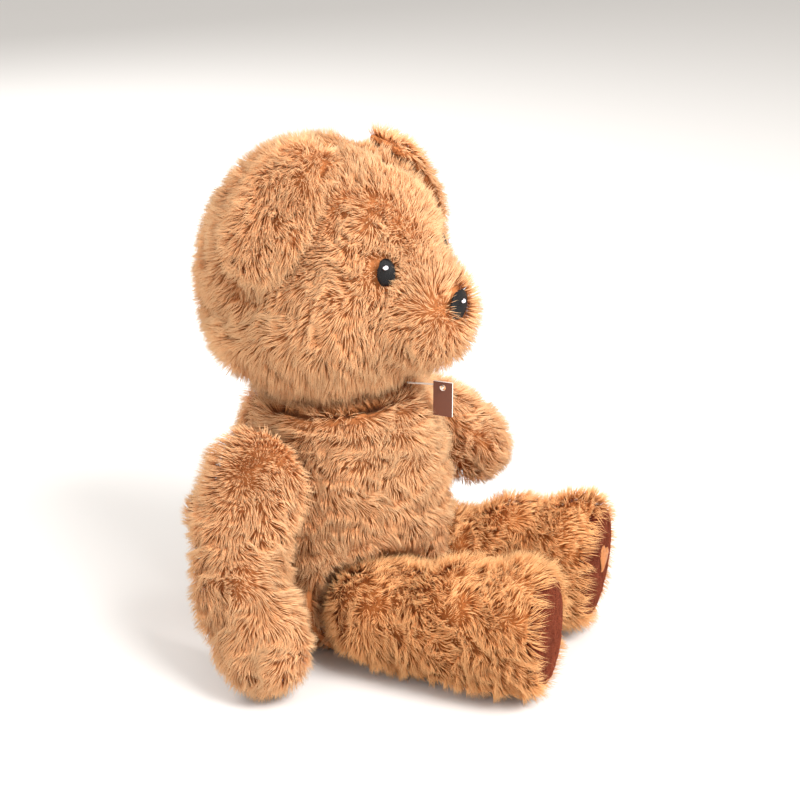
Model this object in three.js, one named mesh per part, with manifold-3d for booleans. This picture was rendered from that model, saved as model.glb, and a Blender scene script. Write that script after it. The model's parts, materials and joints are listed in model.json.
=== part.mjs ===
// A seated plush dog with drop ears, sewn from pile-fabric panels over separate stuffings.
// Millimetres, +Z up. The dog faces -Y, its left is +X, and the origin is the middle of its flat seat.
import * as THREE from 'three';
import { mergeVertices } from 'three/addons/utils/BufferGeometryUtils.js';
import Module from 'manifold-3d';

const wasm = await Module();
wasm.setup();

// ---- driving dimensions -------------------------------------------------------------------

const GAP = 0.4; // between pieces that are sewn or stacked together
const RUN = 1.2; // around a piece that swings
const PILE = 8; // backing and pile of the plush fabric
const EAR_PILE = 4.5; // each of an ear's two layers

const TORSO = { halfWidth: 54, halfDepth: 60, middle: 66, halfHeight: 80, fullness: 3 };
const SEAT = { radius: 34, thickness: 6 }; // the flat base panel
const BEANS = { radius: 18, height: 24, above: 6, y: 10 }; // pellet pouch over the seat panel
const NECK = { y: 8, sunk: 8, radius: 17 }; // ball of neck stuffing, sunk below the torso's crown
const HEAD = { radii: [66, 66, 64], back: -1, sunk: 4, turn: -11 }; // from the neck's middle
const JOWLS = { fullness: 2.3, taper: 0.11 }; // the head is squarer than a ball, and wider low down
const GUSSET = { halfWidth: 17, below: 14 }; // strip over the crown, down to below the middle
const MUZZLE = { radii: [32, 25, 30], down: 17, sunk: 6 }; // from the head's front
const NOSE = { radii: [9, 2.5, 7.5], above: 8, proud: 3, margin: 1.5 }; // proud of the pile's backing
const EYE = { radii: [5, 2, 6.8], azimuth: 26, elevation: 9, proud: 4, margin: 1.5 };
const GLINT = { radii: [1.9, 0.9, 1.3], across: 1.6, up: 3 }; // light stitches on eyes and nose
const EAR = { width: 38, length: 68, topWidth: 24, sweep: 14, off: 1 };
const EAR_RIGHT = { azimuth: 10, elevation: 37 }; // where each ear's middle lies on the head
const EAR_LEFT = { azimuth: 20, elevation: 32 };

const ARM = { thick: 22, broad: 28, spread: 7 }; // half sizes, and how far the shoulder stands out
const ARM_RIGHT = [[0, 16, 108], [21, 20, 66], [28, 4, 28]]; // hangs, hand on the ground
const ARM_LEFT = [[0, 12, 106], [12, -24, 94], [15, -46, 80]]; // held forward, turned flat side up
const SHOULDER_FLAT = 1.5; // how far the torso's sides are flattened where the arms are sewn on

const LEG = { radius: 30, hipX: 35, hipY: -36, axisZ: 30, kneeX: 37, kneeY: -66 };
const ANKLE = { radii: [29, 32, 36], behind: 30 }; // fills the leg out behind the foot
const FOOT = { radii: [29, 21, 39], fullness: 2.8, x: 41, y: -114 };
const ROLL = { right: 0, left: 30 }; // degrees that each foot has rolled outwards
const SOLE = { halfWidth: 20, halfHeight: 29, thickness: 3, rim: 6 };
const MOTIF = { width: 18, height: 16, thickness: 1 }; // an embroidered heart

const TAIL = { sunk: 2, z: 27, rootRadius: 14, tipRadius: 11, pile: 4 };
const TAIL_PATH = [[0, 0, 0], [0, 16, 9], [0, 22, 24]]; // from its root

const TAG = { width: 10, height: 18, thickness: 1.2, holeDrop: 3, holeRadius: 1.6 };
const TAG_PLACE = { below: 3, inward: 4 }; // its top from the torso's crown, its middle from the belly
const FASTENER = { radius: 0.5, out: 2.6 }; // the thread that holds the tag to the neck seam

const NOD_ROOM = { back: 6, radii: [1.5, 13, 5] }; // the room a nodding head needs, beyond its own size
const LEG_LIFT = [-3, 6, 15]; // degrees, at which the torso is cleared of each leg

const SIDES = [[-1, 'right'], [1, 'left']]; // the dog's own right is -X
const ROUND = 16; // facets around a ball or a limb
const RISE = 8; // facets from pole to pole
const COARSE = 12; // facets around the room that a moving piece sweeps
const CURVE = 6; // facets along one curve of an outline
const WELD = 1e-4; // corners closer than this are one
const FAR = 600; // further than any piece reaches

// ---- fabrics ------------------------------------------------------------------------------

const finish = (color, roughness) => new THREE.MeshStandardMaterial({ color, roughness, metalness: 0 });
const PLUSH = finish(0xd29562, 0.95);
const LEG_PLUSH = finish(0xbd7640, 0.95);
const VELOUR = finish(0x8a4226, 0.85);
const STUFFING = finish(0xf2efe8, 1);
const PELLETS = finish(0xdedbd2, 0.6);
const BLACK_THREAD = finish(0x14110f, 0.5);
const WHITE_THREAD = finish(0xe9e6ec, 0.5);
const GOLD_THREAD = finish(0xc79a52, 0.45);
const CARD = finish(0x7a4a30, 0.7);
const NYLON = finish(0xe8e2da, 0.4);

// ---- solids -------------------------------------------------------------------------------

const vec = (point) => new THREE.Vector3(...point);
const radians = THREE.MathUtils.degToRad;

function toSolid(geometry) {
  const bare = geometry.clone();
  bare.deleteAttribute('normal');
  bare.deleteAttribute('uv');
  const merged = mergeVertices(bare, WELD);
  const vertProperties = new Float32Array(merged.attributes.position.array);
  const triVerts = new Uint32Array(merged.index.array);
  return new wasm.Manifold(new wasm.Mesh({ numProp: 3, vertProperties, triVerts }));
}

function toGeometry(solid) {
  const mesh = solid.getMesh();
  const geometry = new THREE.BufferGeometry();
  geometry.setAttribute('position', new THREE.Float32BufferAttribute(mesh.vertProperties, 3));
  geometry.setIndex(Array.from(mesh.triVerts));
  return geometry;
}

const unite = (solids) => solids.reduce((sum, solid) => sum.add(solid));

const placed = (geometry, matrix) => toSolid(geometry.applyMatrix4(matrix));

const shift = (point) => new THREE.Matrix4().makeTranslation(...point);

// A turn in degrees about an axis through a point.
function turnAbout(point, axis, degrees) {
  const turn = new THREE.Matrix4().makeRotationAxis(vec(axis), radians(degrees));
  const back = vec(point).negate().toArray();
  return shift(point).multiply(turn).multiply(shift(back));
}

function ball(radii, matrix, round = ROUND, rise = RISE) {
  const geometry = new THREE.SphereGeometry(1, round, rise);
  geometry.rotateX(Math.PI / 2);
  geometry.scale(...radii);
  return placed(geometry, matrix);
}

function block(low, high, matrix = new THREE.Matrix4()) {
  const size = low.map((value, i) => high[i] - value);
  const middle = low.map((value, i) => (high[i] + value) / 2);
  return placed(new THREE.BoxGeometry(...size), matrix.clone().multiply(shift(middle)));
}

// Everything on the far side of a plane, starting off from the plane by a distance.
function beyond(point, normal, off) {
  const turn = new THREE.Quaternion().setFromUnitVectors(vec([0, 0, 1]), vec(normal).normalize());
  const matrix = shift(point).multiply(new THREE.Matrix4().makeRotationFromQuaternion(turn));
  return block([-FAR, -FAR, off], [FAR, FAR, FAR], matrix);
}

function halves(solid, point, normal) {
  const back = normal.map((value) => -value);
  return [
    solid.intersect(beyond(point, normal, GAP / 2)),
    solid.intersect(beyond(point, back, GAP / 2)),
  ];
}

// A turned form whose outline is a superellipse: fullness 2 is an ellipsoid, more is squarer.
// The last of its radii lies along its axis, which is Z until matrix turns it. A taper makes it
// wider below its middle and narrower above.
function barrel(radii, fullness, matrix, taper = 0) {
  const profile = [];
  for (let step = 0; step <= RISE; step += 1) {
    const angle = Math.PI * (step / RISE - 0.5);
    const out = Math.max(Math.cos(angle), 0) ** (2 / fullness);
    const up = Math.sign(angle) * Math.abs(Math.sin(angle)) ** (2 / fullness);
    profile.push(new THREE.Vector2(step % RISE === 0 ? 0 : out * (1 - taper * up), up));
  }
  const geometry = new THREE.LatheGeometry(profile, ROUND);
  geometry.rotateX(Math.PI / 2);
  geometry.scale(...radii);
  return placed(geometry, matrix);
}

// A round-ended limb that follows a curve: a lathed capsule, bent so that its axis is the curve.
// grow is added to its half sizes; thick runs across the body and broad along the limb's side.
function limb(points, thick, broad, grow, matrix = new THREE.Matrix4(), round = ROUND) {
  const curve = new THREE.CatmullRomCurve3(points.map(vec), false, 'centripetal');
  const length = curve.getLength();
  const end = broad + grow;
  const caps = 3;
  const bends = 3;
  const profile = [];
  for (let step = 0; step <= caps; step += 1) {
    const angle = (Math.PI / 2) * (step / caps);
    profile.push(new THREE.Vector2(step === 0 ? 0 : Math.sin(angle), -end * Math.cos(angle)));
  }
  for (let step = 1; step < bends; step += 1) {
    profile.push(new THREE.Vector2(1, (length * step) / bends));
  }
  for (let step = caps; step >= 0; step -= 1) {
    const angle = (Math.PI / 2) * (step / caps);
    profile.push(new THREE.Vector2(step === 0 ? 0 : Math.sin(angle), length + end * Math.cos(angle)));
  }
  const geometry = new THREE.LatheGeometry(profile, round);
  const position = geometry.attributes.position;
  const across = new THREE.Vector3();
  const side = new THREE.Vector3();
  for (let i = 0; i < position.count; i += 1) {
    const along = position.getY(i);
    const share = THREE.MathUtils.clamp(along / length, 0, 1);
    const tangent = curve.getTangentAt(share);
    across.set(1, 0, 0).addScaledVector(tangent, -tangent.x).normalize();
    side.crossVectors(across, tangent);
    const place = curve.getPointAt(share).addScaledVector(tangent, along - share * length);
    place.addScaledVector(across, position.getX(i) * (thick + grow));
    place.addScaledVector(side, position.getZ(i) * (broad + grow));
    position.setXYZ(i, place.x, place.y, place.z);
  }
  return placed(geometry, matrix);
}

// An oval plate whose faces look along Y.
function disc(halfWidth, halfHeight, thickness, matrix) {
  const geometry = new THREE.CylinderGeometry(1, 1, thickness, ROUND);
  geometry.scale(halfWidth, 1, halfHeight);
  return placed(geometry, matrix);
}

// An outline in X and Z, extruded towards -Y.
function extruded(outline, depth) {
  const geometry = new THREE.ExtrudeGeometry(outline, { depth, bevelEnabled: false, curveSegments: CURVE });
  return geometry.rotateX(Math.PI / 2);
}

// A round plate or plug that stands on Z, from low to high.
function drum(radius, low, high, [x, y] = [0, 0]) {
  const upright = new THREE.Matrix4().makeRotationX(Math.PI / 2);
  const middle = shift([x, y, (low + high) / 2]);
  return placed(new THREE.CylinderGeometry(radius, radius, high - low, ROUND), middle.multiply(upright));
}

// ---- the assembly -------------------------------------------------------------------------

const dog = new THREE.Group();

function piece(name, solid, material) {
  const mesh = new THREE.Mesh(toGeometry(solid), material);
  mesh.name = name;
  dog.add(mesh);
}

// Forms that both a piece and the hollows around it are made from.
const neckCentre = [0, NECK.y, TORSO.middle + TORSO.halfHeight - NECK.sunk];
const headCentre = [0, NECK.y + HEAD.back, neckCentre[2] + HEAD.radii[2] - HEAD.sunk];
const headFrame = turnAbout(headCentre, [0, 0, 1], HEAD.turn).multiply(shift(headCentre));

const neckBall = (grow) => ball(Array(3).fill(NECK.radius + grow), shift(neckCentre), COARSE);
const headForm = (radii, frame) => barrel(radii, JOWLS.fullness, frame, JOWLS.taper);
const headBall = (grow) => headForm(HEAD.radii.map((r) => r + grow), headFrame);
const muzzleFrame = headFrame.clone().multiply(shift([0, MUZZLE.sunk - HEAD.radii[1], -MUZZLE.down]));
const muzzleBall = (grow) => ball(MUZZLE.radii.map((r) => r + grow), muzzleFrame);

// The room that the head takes in every pose, tipping back further than it tips forward.
function headRoom(grow) {
  const radii = HEAD.radii.map((r, i) => r + NOD_ROOM.radii[i] + grow);
  return headForm(radii, shift([headCentre[0], headCentre[1] + NOD_ROOM.back, headCentre[2]]));
}

// side is -1 for the dog's right and 1 for its left.
const hip = (side) => [side * LEG.hipX, LEG.hipY, LEG.axisZ];

function rolled(side) {
  return new THREE.Matrix4().makeRotationY(side * radians(side < 0 ? ROLL.right : ROLL.left));
}

function legForm(side, grow) {
  const foot = [side * FOOT.x, FOOT.y, FOOT.radii[2]];
  const ankle = [side * FOOT.x, FOOT.y + FOOT.radii[1] / 2, LEG.axisZ];
  const knee = [side * LEG.kneeX, LEG.kneeY, LEG.axisZ];
  const shin = limb([hip(side), knee, ankle], LEG.radius, LEG.radius, grow);
  const behind = shift([foot[0], foot[1] + ANKLE.behind, ANKLE.radii[2]]);
  const above = ball(ANKLE.radii.map((r) => r + grow), behind);
  const [across, deep, tall] = FOOT.radii.map((r) => r + grow);
  const facing = shift(foot).multiply(rolled(side)).multiply(new THREE.Matrix4().makeRotationX(Math.PI / 2));
  return unite([shin, above, barrel([across, tall, deep], FOOT.fullness, facing)]);
}

function legRoom(side, grow) {
  const knee = [side * LEG.kneeX, LEG.kneeY, LEG.axisZ];
  const thigh = (pose) => limb([hip(side), knee], LEG.radius, LEG.radius, grow, pose, COARSE);
  return unite(LEG_LIFT.map((angle) => thigh(turnAbout(hip(side), [-1, 0, 0], angle))));
}

const tailRoot = [0, TORSO.halfDepth - TAIL.sunk, TAIL.z];

const tailBall = (grow) => ball(Array(3).fill(TAIL.rootRadius + grow), shift(tailRoot), COARSE);

function tailForm(grow) {
  const points = TAIL_PATH.map((step) => step.map((value, i) => value + tailRoot[i]));
  return limb(points, TAIL.tipRadius, TAIL.tipRadius, grow).add(tailBall(grow));
}

const ground = block([-FAR, -FAR, 0], [FAR, FAR, FAR]);
const shoulderPlane = TORSO.halfWidth - SHOULDER_FLAT;

function torsoForm(inset) {
  const middle = shift([0, 0, TORSO.middle]);
  const radii = [TORSO.halfWidth, TORSO.halfDepth, TORSO.halfHeight].map((r) => r - inset);
  const whole = barrel(radii, TORSO.fullness, middle);
  const sides = shoulderPlane - inset;
  return whole
    .intersect(block([-sides, -FAR, inset], [sides, FAR, FAR]))
    .subtract(headRoom(RUN + inset))
    .subtract(legRoom(-1, RUN + inset / 2))
    .subtract(legRoom(1, RUN + inset / 2))
    .subtract(tailBall(RUN + inset));
}

// ---- torso --------------------------------------------------------------------------------

const neckMouth = neckBall(RUN);
const seatHole = drum(SEAT.radius + GAP, -GAP, PILE + GAP);
const torsoSkin = torsoForm(0).subtract(torsoForm(PILE)).subtract(neckMouth).subtract(seatHole);
const [torsoFront, torsoBack] = halves(torsoSkin, [0, 0, 0], [0, -1, 0]);
const [torsoBackRight, torsoBackLeft] = halves(torsoBack, [0, 0, 0], [-1, 0, 0]);
piece('torso_front_panel', torsoFront, PLUSH);
piece('torso_back_panel_right', torsoBackRight, PLUSH);
piece('torso_back_panel_left', torsoBackLeft, PLUSH);

const hips = legRoom(-1, RUN).add(legRoom(1, RUN));
piece('seat_panel', drum(SEAT.radius, 0, SEAT.thickness).subtract(hips), PLUSH);

const beanMiddle = [0, BEANS.y, PILE + BEANS.above + BEANS.height / 2];

function beanBag(grow) {
  const radii = [BEANS.radius, BEANS.radius, BEANS.height / 2].map((r) => r + grow);
  return ball(radii, shift(beanMiddle));
}

piece('seat_bean_bag', beanBag(0), PELLETS);

// The stuffing is packed round the bean bag, and the hollow that holds the bag opens downwards.
const beanWay = drum(BEANS.radius + GAP, 0, beanMiddle[2], [0, BEANS.y]);
const torsoFill = torsoForm(PILE + GAP).subtract(neckMouth);
piece('torso_stuffing', torsoFill.subtract(beanBag(GAP)).subtract(beanWay), STUFFING);

piece('neck_stuffing', neckBall(0), STUFFING);

// ---- head ---------------------------------------------------------------------------------

// How far the head's surface is from its middle in a direction, by halving the span it is in.
function headReach(direction) {
  const [a, b, c] = HEAD.radii;
  const span = [0, 2 * Math.max(a, b, c)];
  while (span[1] - span[0] > WELD) {
    const middle = (span[0] + span[1]) / 2;
    const up = (direction.z * middle) / c;
    const out = (Math.hypot(direction.x / a, direction.y / b) * middle) / (1 - JOWLS.taper * up);
    const inside = out ** JOWLS.fullness + Math.abs(up) ** JOWLS.fullness < 1;
    span[inside ? 0 : 1] = middle;
  }
  return span[0];
}

// A frame on the head's skin: local -Y points out of the head, and depth is measured inwards.
function onHead(azimuth, elevation, depth) {
  const out = new THREE.Matrix4().makeRotationZ(radians(azimuth));
  out.multiply(new THREE.Matrix4().makeRotationX(radians(-elevation)));
  const direction = vec([0, -1, 0]).applyMatrix4(out);
  return headFrame.clone().multiply(out).multiply(shift([0, depth - headReach(direction), 0]));
}

const eyeFrame = (side) => onHead(side * EYE.azimuth, EYE.elevation, PILE - EYE.proud);
const noseOut = PILE - NOSE.proud - MUZZLE.radii[1];
const noseFrame = muzzleFrame.clone().multiply(shift([0, noseOut, NOSE.above]));

// The pit that the pile leaves open in front of a patch of stitches.
function pit([across, deep, up], margin, frame) {
  const middle = shift([0, deep + GAP - PILE, 0]);
  return disc(across + margin, up + margin, 2 * PILE, frame.clone().multiply(middle));
}

const headSkin = headBall(0).subtract(headBall(-PILE)).subtract(muzzleBall(GAP)).subtract(neckMouth);
const eyePits = [-1, 1].map((side) => pit(EYE.radii, EYE.margin, eyeFrame(side)));
const strip = (grow) => block(
  [-GUSSET.halfWidth - grow, -FAR, -GUSSET.below - grow],
  [GUSSET.halfWidth + grow, FAR, FAR],
  headFrame,
);
const openSkin = headSkin.subtract(unite(eyePits));
const cheeks = openSkin.subtract(strip(GAP));
const headAcross = vec([-1, 0, 0]).transformDirection(headFrame).toArray();
const [headRight, headLeft] = halves(cheeks, headCentre, headAcross);
piece('head_gusset', openSkin.intersect(strip(0)), PLUSH);
piece('head_panel_right', headRight, PLUSH);
piece('head_panel_left', headLeft, PLUSH);
piece('head_stuffing', headBall(-PILE - GAP).subtract(muzzleBall(GAP)).subtract(neckMouth)
  .subtract(unite(eyePits)), STUFFING);

const nosePit = pit(NOSE.radii, NOSE.margin, noseFrame);
const muzzleSkin = muzzleBall(0).subtract(muzzleBall(-PILE)).subtract(headBall(-PILE * 2))
  .subtract(nosePit);
const muzzleCentre = vec([0, 0, 0]).applyMatrix4(muzzleFrame).toArray();
const [muzzleRight, muzzleLeft] = halves(muzzleSkin, muzzleCentre, headAcross);
piece('muzzle_panel_right', muzzleRight, PLUSH);
piece('muzzle_panel_left', muzzleLeft, PLUSH);
piece('muzzle_stuffing', muzzleBall(-PILE - GAP).subtract(nosePit), STUFFING);

// Light stitches on a black patch, clear of its crown.
function glint([, deep], frame) {
  const middle = shift([-GLINT.across, -deep - GAP - GLINT.radii[1], GLINT.up]);
  return ball(GLINT.radii, frame.clone().multiply(middle), COARSE);
}

piece('nose', ball(NOSE.radii, noseFrame), BLACK_THREAD);
piece('nose_glint', glint(NOSE.radii, noseFrame), WHITE_THREAD);
for (const [side, word] of SIDES) {
  piece(`eye_${word}`, ball(EYE.radii, eyeFrame(side)), BLACK_THREAD);
  piece(`eye_glint_${word}`, glint(EYE.radii, eyeFrame(side)), WHITE_THREAD);
}

// ---- ears ---------------------------------------------------------------------------------

// A drop ear's outline: straight where it is sewn on, widening, and round at its end.
function earOutline() {
  const { width, length, topWidth } = EAR;
  const outline = new THREE.Shape();
  const top = length / 2;
  const turn = width / 2 - top;
  outline.moveTo(-topWidth / 2, top);
  outline.bezierCurveTo(-width / 2, top / 2, -width / 2, 0, -width / 2, turn);
  outline.absarc(0, turn, width / 2, Math.PI, 2 * Math.PI, false);
  outline.bezierCurveTo(width / 2, 0, width / 2, top / 2, topWidth / 2, top);
  outline.closePath();
  return outline;
}

function earLayer(side, { azimuth, elevation }, from, to) {
  const geometry = extruded(earOutline(), FAR);
  const frame = headFrame.clone()
    .multiply(new THREE.Matrix4().makeRotationZ(side * radians(90 - azimuth)))
    .multiply(new THREE.Matrix4().makeRotationX(radians(-elevation)))
    .multiply(new THREE.Matrix4().makeRotationY(-side * radians(EAR.sweep)));
  return headBall(to).subtract(headBall(from)).intersect(placed(geometry, frame));
}

for (const [side, word] of SIDES) {
  const place = side < 0 ? EAR_RIGHT : EAR_LEFT;
  const lining = EAR.off + EAR_PILE;
  piece(`ear_lining_${word}`, earLayer(side, place, EAR.off, lining), PLUSH);
  piece(`ear_outer_${word}`, earLayer(side, place, lining + GAP, lining + GAP + EAR_PILE), PLUSH);
}

// ---- arms ---------------------------------------------------------------------------------

function arm(side, word, route, thick, broad) {
  const base = shoulderPlane + ARM.spread;
  const points = route.map(([out, y, z]) => [side * (base + out), y, z]);
  const shoulder = beyond([side * shoulderPlane, 0, 0], [side, 0, 0], RUN / 2);
  const form = (grow) => limb(points, thick, broad, grow).intersect(shoulder);
  const skin = form(0).subtract(form(-PILE)).intersect(ground);
  const path = vec(points[2]).sub(vec(points[0]));
  const forward = vec([-1, 0, 0]).cross(path).normalize().toArray();
  const [front, back] = halves(skin, points[1], forward);
  piece(`arm_front_panel_${word}`, front, PLUSH);
  piece(`arm_back_panel_${word}`, back, PLUSH);
  piece(`arm_stuffing_${word}`, form(-PILE - GAP).intersect(ground), STUFFING);
}
arm(-1, 'right', ARM_RIGHT, ARM.thick, ARM.broad);
arm(1, 'left', ARM_LEFT, ARM.broad, ARM.thick);

// ---- legs ---------------------------------------------------------------------------------

const soleFace = FOOT.y - FOOT.radii[1] + SOLE.rim;

// A plate in the sole's outline whose back is a distance behind the sole's face.
function soleForm(side, grow, back, thickness) {
  const middle = shift([side * FOOT.x, soleFace + back - thickness / 2, FOOT.radii[2]]);
  return disc(SOLE.halfWidth + grow, SOLE.halfHeight + grow, thickness, middle.multiply(rolled(side)));
}

function leg(side, word) {
  const well = soleForm(side, GAP, SOLE.thickness + GAP, 2 * FOOT.radii[1]);
  const skin = legForm(side, 0).subtract(legForm(side, -PILE)).subtract(well).intersect(ground);
  const [top, under] = halves(skin, [0, 0, LEG.axisZ], [0, 0, 1]);
  piece(`leg_top_panel_${word}`, top, LEG_PLUSH);
  piece(`leg_under_panel_${word}`, under, LEG_PLUSH);
  piece(`leg_stuffing_${word}`, legForm(side, -PILE - GAP).subtract(well), STUFFING);
  piece(`sole_${word}`, soleForm(side, 0, SOLE.thickness, SOLE.thickness), VELOUR);
}
leg(-1, 'right');
leg(1, 'left');

// An embroidered heart on the left sole: two lobes that meet at a notch, and a point below.
function heart() {
  const { width, height } = MOTIF;
  const lobe = width / 4;
  const outline = new THREE.Shape();
  outline.moveTo(0, height / 2 - lobe);
  outline.absarc(lobe, height / 2 - lobe, lobe, Math.PI, 0, true);
  outline.quadraticCurveTo(width / 2, -height / 6, 0, -height / 2);
  outline.quadraticCurveTo(-width / 2, -height / 6, -width / 2, height / 2 - lobe);
  outline.absarc(-lobe, height / 2 - lobe, lobe, Math.PI, 0, true);
  return outline;
}

const stitched = extruded(heart(), MOTIF.thickness);
const onLeftSole = shift([FOOT.x, soleFace - GAP, FOOT.radii[2]]).multiply(rolled(1));
piece('sole_motif_left', placed(stitched, onLeftSole), GOLD_THREAD);

// ---- tail ---------------------------------------------------------------------------------

const tailMouth = beyond(tailRoot, [0, -1, 0], TAIL.rootRadius / 2);
piece('tail_cover', tailForm(0).subtract(tailForm(-TAIL.pile)).subtract(tailMouth), PLUSH);
piece('tail_stuffing', tailForm(-TAIL.pile - GAP).subtract(tailMouth), STUFFING);

// ---- swing tag ----------------------------------------------------------------------------

// The card hangs edge-forward below the chin, and its thread goes through it to the neck seam.
const tagTop = TORSO.middle + TORSO.halfHeight - TAG_PLACE.below;
const tagY = TAG_PLACE.inward - TORSO.halfDepth;
const hole = [0, tagY, tagTop - TAG.holeDrop];
const card = block(
  [-TAG.thickness / 2, tagY - TAG.width / 2, tagTop - TAG.height],
  [TAG.thickness / 2, tagY + TAG.width / 2, tagTop],
);
const acrossCard = shift(hole).multiply(new THREE.Matrix4().makeRotationZ(Math.PI / 2));
piece('tag_card', card.subtract(disc(TAG.holeRadius, TAG.holeRadius, 4 * TAG.thickness, acrossCard)), CARD);

// How far forward the torso's front is at a height.
function belly(z) {
  const up = ((z - TORSO.middle) / TORSO.halfHeight) ** TORSO.fullness;
  return TORSO.halfDepth * (1 - up) ** (1 / TORSO.fullness);
}

const seamY = -belly(hole[2] - FASTENER.radius) - GAP;
const threadRoute = [
  [-FASTENER.out, tagY],
  [0, tagY],
  [FASTENER.out, tagY + FASTENER.out / 2],
  [FASTENER.out, tagY + TAG.width / 2],
  [0, seamY],
].map(([x, y]) => new THREE.Vector3(x, y, hole[2]));
const round = new THREE.Shape().absarc(0, 0, FASTENER.radius, 0, 2 * Math.PI, false);
const thread = new THREE.ExtrudeGeometry(round, {
  extrudePath: new THREE.CatmullRomCurve3(threadRoute, false, 'centripetal'),
  steps: ROUND,
  curveSegments: CURVE,
});
piece('tag_thread', toSolid(thread), NYLON);

export default dog;
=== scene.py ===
"""A seated plush dog: pile fabric over stuffed forms, embroidered face, velour soles and a swing tag."""
from __future__ import annotations

import json
import logging
import math
from dataclasses import asdict, dataclass, field, fields, replace
from enum import Enum
from functools import cache
from typing import Callable, Sequence

import bmesh
import bpy
import numpy as np
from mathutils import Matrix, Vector
from mathutils.bvhtree import BVHTree


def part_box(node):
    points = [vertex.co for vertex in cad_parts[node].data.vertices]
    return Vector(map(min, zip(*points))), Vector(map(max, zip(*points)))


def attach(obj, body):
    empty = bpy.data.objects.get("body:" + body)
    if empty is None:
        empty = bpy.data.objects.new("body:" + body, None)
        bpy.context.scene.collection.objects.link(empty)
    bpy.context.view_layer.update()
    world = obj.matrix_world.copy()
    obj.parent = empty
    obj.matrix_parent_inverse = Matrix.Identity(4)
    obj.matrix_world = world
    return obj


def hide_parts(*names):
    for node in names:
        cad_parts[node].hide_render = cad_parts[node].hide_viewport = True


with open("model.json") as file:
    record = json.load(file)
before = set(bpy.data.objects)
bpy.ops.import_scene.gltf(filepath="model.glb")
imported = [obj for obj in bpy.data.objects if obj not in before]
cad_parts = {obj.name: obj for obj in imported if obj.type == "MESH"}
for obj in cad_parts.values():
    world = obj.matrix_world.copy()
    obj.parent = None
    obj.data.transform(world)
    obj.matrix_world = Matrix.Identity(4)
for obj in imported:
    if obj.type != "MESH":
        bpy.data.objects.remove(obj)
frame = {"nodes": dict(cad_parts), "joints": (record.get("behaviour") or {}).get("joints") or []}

LOG = logging.getLogger("plush_dog")
MM = 0.001
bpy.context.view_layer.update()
BAKE_MAP = "OFBake"
BEND_SHARE = 0.55  # how far up a strand it is widest and bends
SKIN_TONE_AND_SHADE = (0.5, 0.2, 0.0)  # the backing's place on the strand map: its shade index across, and how far up; near the root, so it shows partly its own colour and partly painted shade
Array = np.ndarray
Colour = tuple[float, float, float, float]
Field = Callable[[Array, Array], Array]


class Side(Enum):
    """The dog's own right and left; the value is the sign of X."""

    RIGHT = -1
    LEFT = 1

    @property
    def word(self) -> str:
        """The side's name, as the CAD nodes and bodies end."""
        return self.name.lower()


# ---- node trees ---------------------------------------------------------------------------


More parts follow.
